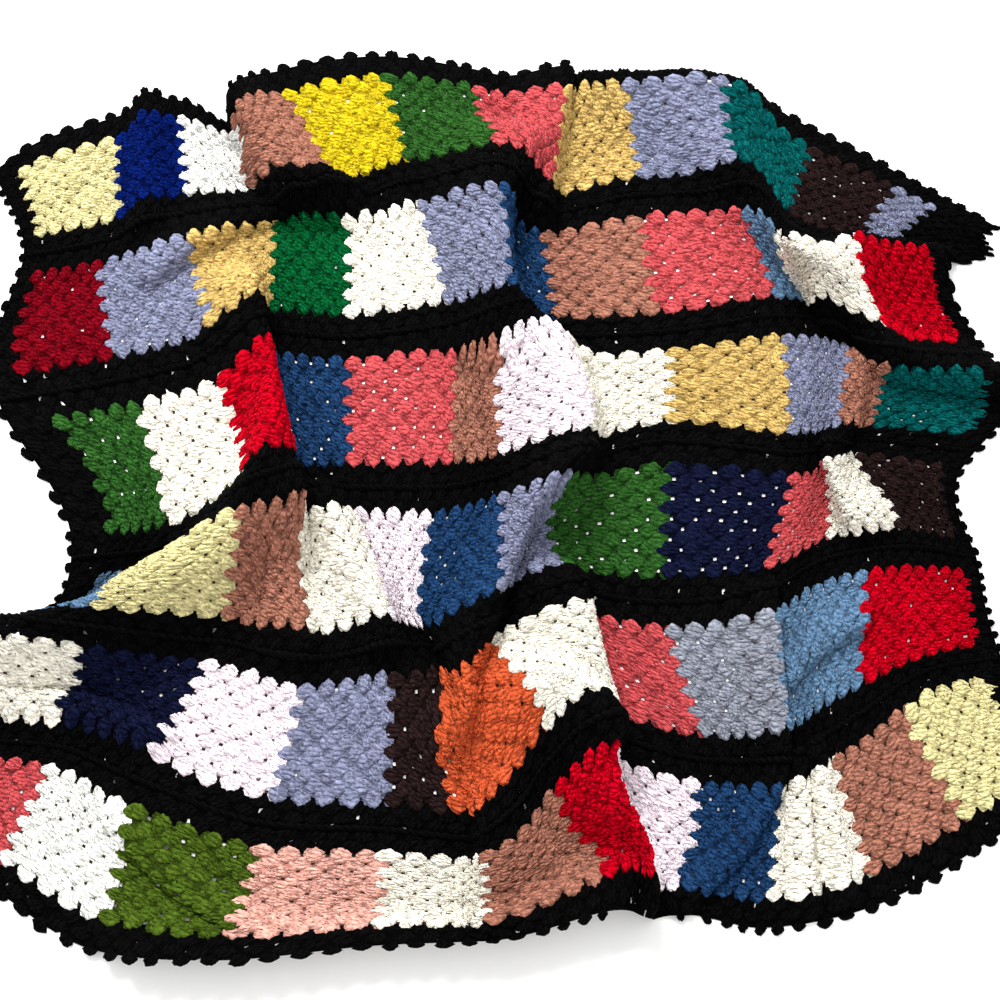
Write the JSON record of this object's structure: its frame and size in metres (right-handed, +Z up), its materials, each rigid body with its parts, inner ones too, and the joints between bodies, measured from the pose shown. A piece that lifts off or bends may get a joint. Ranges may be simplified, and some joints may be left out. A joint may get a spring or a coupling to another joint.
{
  "type": "granny square blanket",
  "caption": "Crocheted blanket laid loosely in uneven folds: strips of coloured blocks joined by black bands, with a black scalloped border",
  "frame": {"origin": "middle of the bounding box in X and Y, on the surface that the blanket lies on", "axes": "+X along the strips, to the right; +Y across them, away from the viewer; +Z up"},
  "size_m": [0.905, 0.7951, 0.0669],
  "materials": {
    "coloured_yarn": "matt knitting yarn, dyed a different colour in each block",
    "black_yarn": "matt black knitting yarn"
  },
  "bodies": {
    "root": {"strip_1": "coloured_yarn", "strip_2": "coloured_yarn", "strip_3": "coloured_yarn", "strip_4": "coloured_yarn", "strip_5": "coloured_yarn", "strip_6": "coloured_yarn", "band_1": "black_yarn", "band_2": "black_yarn", "band_3": "black_yarn", "band_4": "black_yarn", "band_5": "black_yarn", "border_far": "black_yarn", "border_near": "black_yarn", "border_left": "black_yarn", "border_right": "black_yarn"}
  },
  "joints": []
}
